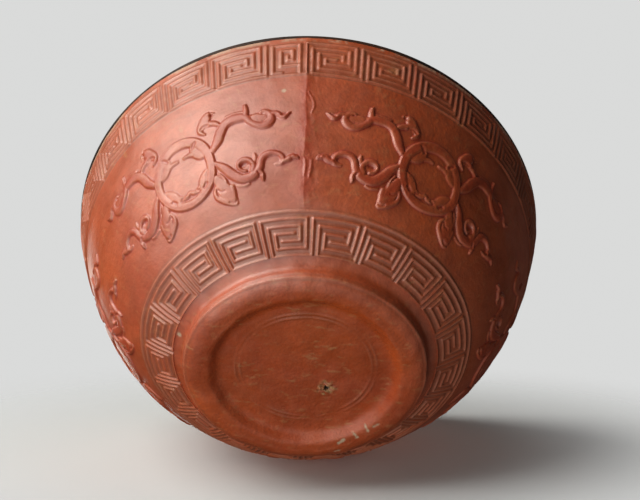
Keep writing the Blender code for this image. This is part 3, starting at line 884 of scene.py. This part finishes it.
def makeRindMaterial():
    look = rindLook
    material, tree, shader, make = newMaterial("gourd_rind")
    masks = {}
    for name in ("ridge", "dent", "chip", "hole", "raised", "dust", "scar"):
        masks[name] = make("ShaderNodeAttribute", attribute_name=name).outputs["Fac"]
    cloud, masks["grain"] = placeMottle(make, look["cloudScales"])
    patch, masks["speck"] = placeMottle(make, look["patchScales"])
    masks["blotch"] = placeMottle(make, look["blotchScales"])[0]
    masks["rubbed"] = times(make, masks["ridge"], patch)
    onBase = mapRange(make, length(make, objectPlace(make, (1.0, 1.0, 0.0))), look["baseEdge"], (1.0, 0.0))
    streak = noise(make, objectPlace(make, look["streakStretch"]), 1.0, look["streakDetail"])
    streak = mapRange(make, streak, look["streakRange"])
    masks["streaks"] = times(make, times(make, streak, patch), look["streakMost"])
    brush = noise(make, objectPlace(make, look["brushStretch"]), 1.0, look["brushDetail"],
                  Roughness=look["brushRoughness"], Distortion=look["brushWarp"])
    masks["brush"] = mapRange(make, brush, look["brushRange"])
    colour = colourMix(make, cloud, look["deep"], look["mid"])
    for name, share, over in look["layers"]:
        if isinstance(share, tuple):
            share = mapRange(make, onBase, wanted=share)
        colour = colourMix(make, times(make, masks[name], share), colour, look[over])
    tree.links.new(colour, shader.inputs["Base Color"])
    dull = times(make, masks["brush"], masks["blotch"])
    dull = plus(make, dull, times(make, masks["raised"], look["raisedDull"]))
    coatShare = mapRange(make, onBase, wanted=look["coat"])
    coatLeft = mapRange(make, dull, wanted=(1.0, look["coatWorn"]))
    tree.links.new(times(make, coatShare, coatLeft), shader.inputs["Coat Weight"])
    height = plus(make, plus(make, masks["grain"], masks["speck"]), masks["streaks"])
    addBump(make, shader, height, look)
    setInputs(shader, {
        "Roughness": look["roughness"],
        "Specular IOR Level": look["specular"],
        "Coat IOR": look["coatIor"],
        "Coat Roughness": look["coatRoughness"],
    })
    return material


lacquerLook = {
    "black": (0.01, 0.008, 0.007),
    "brown": (0.075, 0.028, 0.014),
    "scales": (45.0, 700.0),
    "strokes": (60.0, 60.0, 900.0),  # level strokes of the brush
    "strokeDetail": 2.0,
    "bump": 0.1,
    "bumpDepth": 0.1 * mm,
    "black_lining": {"wear": 0.35, "roughness": (0.18, 0.34)},
    "lip_lacquer": {"wear": 0.8, "roughness": (0.5, 0.65)},
}


def makeLacquer(name):
    look = lacquerLook
    material, tree, shader, make = newMaterial(name)
    cloud, grain = placeMottle(make, look["scales"])
    colour = colourMix(make, times(make, cloud, look[name]["wear"]), look["black"], look["brown"])
    tree.links.new(colour, shader.inputs["Base Color"])
    tree.links.new(mapRange(make, grain, wanted=look[name]["roughness"]), shader.inputs["Roughness"])
    addBump(make, shader, noise(make, objectPlace(make, look["strokes"]), 1.0, look["strokeDetail"]), look)
    return material


groundLook = {
    "pale": (0.2, 0.19, 0.17),
    "dark": (0.11, 0.105, 0.1),
    "scales": (120.0, 1600.0),
    "roughness": 0.85,
    "bump": 0.3,
    "bumpDepth": 0.1 * mm,
}


def makeGround():
    material, tree, shader, make = newMaterial("clay_ground")
    cloud, grain = placeMottle(make, groundLook["scales"])
    colour = colourMix(make, cloud, groundLook["dark"], groundLook["pale"])
    tree.links.new(colour, shader.inputs["Base Color"])
    addBump(make, shader, grain, groundLook)
    setInputs(shader, {"Roughness": groundLook["roughness"]})
    return material


rindMaterial = makeRindMaterial()

# The rind's pieces, from the base up
lipSpace = bowlForm["lipDepth"] + bowlForm["lipGap"]
rindTop = wallLength - lipSpace / math.cos(math.radians(bowlForm["rimLean"]))
rindPieces = [  # name, from and to along the skin, row spacing, first angle, degrees, spins, cuts
    ("rind_foot", -footLength, 0.0, 0.33 * mm, 0, 360, 64, 6),
    ("rind_lower_fret", 0.0, frieze["from"], 0.27 * mm, 0, 360, 60, 17),
    ("rind_upper_fret_right", frieze["to"], rindTop, 0.27 * mm, 0, 180, 60, 13),
    ("rind_upper_fret_left", frieze["to"], rindTop, 0.27 * mm, 180, 180, 60, 13),
]
for number, (left, right) in enumerate(zip(frieze["edges"], frieze["edges"][1:]), 1):
    rindPieces.append((
        f"rind_frieze_{number}", frieze["from"], frieze["to"], frieze["spacing"],
        left, right - left, frieze["spins"], frieze["cuts"],
    ))


def buildRind():
    depth = bowlForm["rindDepth"]
    for name, low, high, spacing, first, covered, spins, cuts in rindPieces:
        rows = max(int(round((high - low) / spacing)), 2)
        outer = [(float(s), 0.0) for s in np.linspace(low, high, rows + 1)]
        inner = [float(s) for s in np.linspace(high, low, bowlForm["innerRows"])]
        if low < 0:
            inner = [0.0, bowlForm["innerFoot"], bowlForm["innerBase"] - footLength, -footLength]
        section = outer + [(s, -depth) for s in inner]
        mesh = turnedBody(name, section, skinAt, first, covered, spins, cuts)
        placeRound(mesh, skinAt, footRelief if low < 0 else skinRelief)
        addPiece(name, mesh, rindMaterial, "gourd_shell")


buildRind()

# Inside: a grey ground coat on the rind, black lacquer over it and a lacquered lip
coats = {
    "rindThickness": 3.0 * mm,
    "clearance": 0.3 * mm,
    "ground": 0.7 * mm,
    "lacquer": 0.6 * mm,
    "turn": 20 * mm,  # how far up the wall the inside rounds into the floor
    "floor": 6.4 * mm,
    "roundness": 0.75,
    "flatness": 0.55,
    "samples": 40,  # on the wall, and again on the floor
    "topSpace": 0.05 * mm,  # nothing lies closer under the cut than this
    "lipRounding": 0.5 * mm,
    "lipTurns": 7,
    "lipWall": 300,  # points of the skin's line that reach down past the lip
}


def insideLine():
    along = np.linspace(wallLength, coats["turn"], coats["samples"])
    side = np.stack(skinAt(along, -coats["rindThickness"]), axis=1)
    way = side[-2] - side[-1]
    way /= np.linalg.norm(way)
    (radius, height), floor = side[-1], coats["floor"]
    lift = side[-1] - way * ((height - floor) / way[1] * coats["roundness"])
    middle = (radius * coats["flatness"], floor)
    bottom = cubicLine(side[-1], lift, middle, (0.0, floor), coats["samples"])
    return np.concatenate([side, bottom[1:]])


def inward(line, distance):
    run = np.gradient(line, axis=0)
    run /= np.linalg.norm(run, axis=1)[:, None]
    moved = line + distance * np.stack([run[:, 1], -run[:, 0]], axis=1)
    moved[-1, 0] = 0.0
    return moved


def cutTop(line, height):
    kept = line[line[:, 1] < height - coats["topSpace"]]
    radius = np.interp(height, line[::-1, 1], line[::-1, 0])
    return np.concatenate([[(radius, height)], kept])


def asGiven(radius, height):
    return radius, height


def buildTurned(name, section, material, node):
    mesh = turnedBody(name, section, asGiven)
    placeRound(mesh, asGiven)
    addPiece(name, mesh, material, node)


def buildLip(inner, lipFoot):
    top, wide, rounding = bowlForm["rimHeight"], bowlForm["rimRadius"], coats["lipRounding"]
    heights, radii = (skin[k][-coats["lipWall"]:] for k in ("height", "radius"))
    outer = float(np.interp(lipFoot, heights, radii))
    turns = np.linspace(0, math.pi / 2, coats["lipTurns"])
    rounds = [(rounding * (1 - math.cos(t)), top - rounding * (1 - math.sin(t))) for t in turns]
    section = [(inner, lipFoot), ((inner + outer) / 2, lipFoot), (outer, lipFoot)]
    section += [(wide - back, height) for back, height in rounds]
    section += [(inner + back, height) for back, height in rounds[::-1]]
    buildTurned("lip_ring", section, makeLacquer("lip_lacquer"), "rim_band")


def buildCoats():
    line = insideLine()
    lipFoot = bowlForm["rimHeight"] - bowlForm["lipDepth"]
    sawn = lipFoot - coats["clearance"]
    lacquerStart = coats["clearance"] + coats["ground"] + coats["clearance"]
    pieces = [
        ("clay_ground_coat", coats["clearance"], coats["ground"], makeGround(), "ground_coat",
         "lacquer_ground"),
        ("black_lining", lacquerStart, coats["lacquer"], makeLacquer("black_lining"), "lining_lacquer",
         "lacquer_lining"),
    ]
    for name, start, thickness, material, slot, node in pieces:
        under = cutTop(inward(line, start), sawn)
        over = cutTop(inward(line, start + thickness), sawn)
        section = [tuple(p) for p in under[::-1]] + [tuple(p) for p in over]
        buildTurned(name, section, material, node)
    inner = cutTop(inward(line, lacquerStart + coats["lacquer"]), lipFoot)[0][0]
    buildLip(float(inner), lipFoot)


buildCoats()

# Camera, fitted to the photograph
cameraSettings = {
    "place": (0.0039, -0.2371, -0.2542),
    "right": (0.9999, -0.0104, 0.0079),
    "down": (0.0131, 0.7984, -0.602),
    "ahead": (0.0, 0.602, 0.7985),
    "lens": 67.5,
    "sensor": 36,
    "nearest": 0.01,
}
cameraRight = Vector(cameraSettings["right"])
cameraUp = -Vector(cameraSettings["down"])
cameraBack = -Vector(cameraSettings["ahead"])


def makeCamera():
    data = bpy.data.cameras.new("camera")
    camera = addObject(data.name, data)
    turn = Matrix((cameraRight, cameraUp, cameraBack)).transposed().to_4x4()
    turn.translation = cameraSettings["place"]
    camera.matrix_world = turn
    data.lens = cameraSettings["lens"]
    data.sensor_width = cameraSettings["sensor"]
    data.clip_start = cameraSettings["nearest"]
    bpy.context.scene.camera = camera
    print("camera set, lens", data.lens)


makeCamera()

# Lamps: way from the bowl in the camera's right, up and back. Level 1 shows a colour as it is written
bowlMiddle = Vector((0, 0, bowlForm["rimHeight"] / 2))
lampTint = (1.0, 0.975, 0.89)
lampAway, lampSize = 0.9, 0.8
lamps = {
    "key": {"way": (-0.6, 0.7, 0.38), "level": 0.66},
    "side": {"way": (-0.85, 0.42, 0.32), "level": 0.39},
    "front": {"way": (-0.5, -0.19, 0.84), "level": 0.33},
    "lowLeft": {"way": (-0.64, -0.36, 0.6), "level": 0.05, "size": 0.9},
    "low": {"way": (-0.15, -0.7, 0.7), "level": 0.09},
    "lowRight": {"way": (0.6, -0.66, 0.45), "level": 0.03},
    "over": {"way": (0.0, 0.64, -0.77), "level": 0.03, "size": 0.6, "away": 0.75},
    "rear": {"way": (-0.3, 0.0, -0.95), "level": 0.45, "size": 0.6},
    "farRight": {"way": (0.6, 0.1, -0.79), "level": 0.34, "size": 0.6, "gloss": False},
}


def addLamps():
    for name, lamp in lamps.items():
        side, up, near = lamp["way"]
        away = lamp.get("away", lampAway)
        way = (cameraRight * side + cameraUp * up + cameraBack * near).normalized()
        data = bpy.data.lights.new(name, "AREA")
        data.shape = "DISK"
        data.size = lamp.get("size", lampSize)
        data.color = lampTint
        data.energy = lamp["level"] * (math.pi * away) ** 2
        light = addObject(name, data)
        light.location = bowlMiddle + way * away
        light.visible_glossy = lamp.get("gloss", True)  # farRight would show as a white edge
        light.rotation_mode = "QUATERNION"
        light.rotation_quaternion = way.to_track_quat("Z", "Y")
        print("lamp", name, round(data.energy, 2))


addLamps()

# The floor fades into the backdrop all round, so no horizon shows
floorLook = {
    "colour": (0.9, 0.93, 0.96),
    "restColour": (0.69, 0.7, 0.73),
    "restGlow": 0.55,
    "restHeight": -0.2 * mm,
    "fade": (0.06, 0.19),
    "stretch": (1.0, 1.0, 2.0),  # the floor fades twice as soon upwards
    "roughness": 0.9,
    "specular": 0.1,
    "size": 1.0,
    "lookDown": 12,  # degrees that the camera looks down at the photographed table
    "gap": 0.6 * mm,
}
backColour = (0.7, 0.705, 0.7)
worldLight = 0.015


def makeFloorMaterial(name, middle, colour, glow):
    material, tree, shader, make = newMaterial(name)
    setInputs(shader, {
        "Base Color": rgb(colour),
        "Roughness": floorLook["roughness"],
        "Specular IOR Level": floorLook["specular"],
        "Emission Color": rgb(backColour),
        "Emission Strength": glow,
    })
    clear = make("ShaderNodeBsdfTransparent").outputs[0]
    behind = make("ShaderNodeNewGeometry").outputs["Backfacing"]
    offset = objectPlace(make)
    for value, operation in ((middle, "SUBTRACT"), (floorLook["stretch"], "MULTIPLY")):
        offset = make("ShaderNodeVectorMath", {0: offset, 1: value}, operation=operation).outputs["Vector"]
    fade = mapRange(make, length(make, offset), floorLook["fade"], way="SMOOTHSTEP")
    unseen = make("ShaderNodeMath", {0: fade, 1: behind}, operation="MAXIMUM").outputs[0]
    mixed = make("ShaderNodeMixShader", {0: unseen, 1: shader.outputs[0], 2: clear}).outputs[0]
    tree.links.new(mixed, tree.nodes["Material Output"].inputs["Surface"])
    return material


def addFloor(name, point, normal, colour, glow):
    bm = bmesh.new()
    bmesh.ops.create_grid(bm, x_segments=1, y_segments=1, size=floorLook["size"])
    mesh = bpy.data.meshes.new(name)
    bm.to_mesh(mesh)
    bm.free()
    turn = Vector(normal).to_track_quat("Z", "Y").to_matrix().to_4x4()
    turn.translation = point
    mesh.transform(turn)
    floor = addObject(name, mesh)
    mesh.materials.append(makeFloorMaterial(name, tuple(point), colour, glow))
    floor.visible_diffuse = False
    floor.visible_glossy = False
    floor.visible_shadow = False
    floor.visible_transmission = False


def addFloors():
    pitch = math.radians(floorLook["lookDown"])
    normal = cameraUp * math.cos(pitch) + cameraBack * math.sin(pitch)
    sideways = np.stack([np.zeros(len(skin["radius"])), skin["radius"], skin["height"]], axis=1)
    lowest = int(np.argmax(sideways @ np.array(-normal)))
    touch = Vector(sideways[lowest]) - normal * floorLook["gap"]
    print("touches the photographed table at", [round(v / mm, 1) for v in touch])
    restPoint = (0, 0, floorLook["restHeight"])
    addFloor("photo_floor", touch, normal, floorLook["colour"], 0.0)
    addFloor("rest_floor", restPoint, (0, 0, 1), floorLook["restColour"], floorLook["restGlow"])


addFloors()


def makeWorld():  # a plain backdrop where the camera sees it, and a little light from all round
    world = bpy.data.worlds.new("studio")
    bpy.context.scene.world = world
    world.use_nodes = True
    tree = world.node_tree
    make = nodeMaker(tree)
    light = tree.nodes["Background"]
    setInputs(light, {"Color": rgb((1.0, 1.0, 1.0)), "Strength": worldLight})
    seen = make("ShaderNodeBackground", {"Color": rgb(backColour)}).outputs[0]
    isSeen = make("ShaderNodeLightPath").outputs["Is Camera Ray"]
    mixed = make("ShaderNodeMixShader", {0: isSeen, 1: light.outputs[0], 2: seen}).outputs[0]
    tree.links.new(mixed, tree.nodes["World Output"].inputs["Surface"])
    print("world set")


makeWorld()
bpy.context.scene.view_settings.view_transform = "Standard"
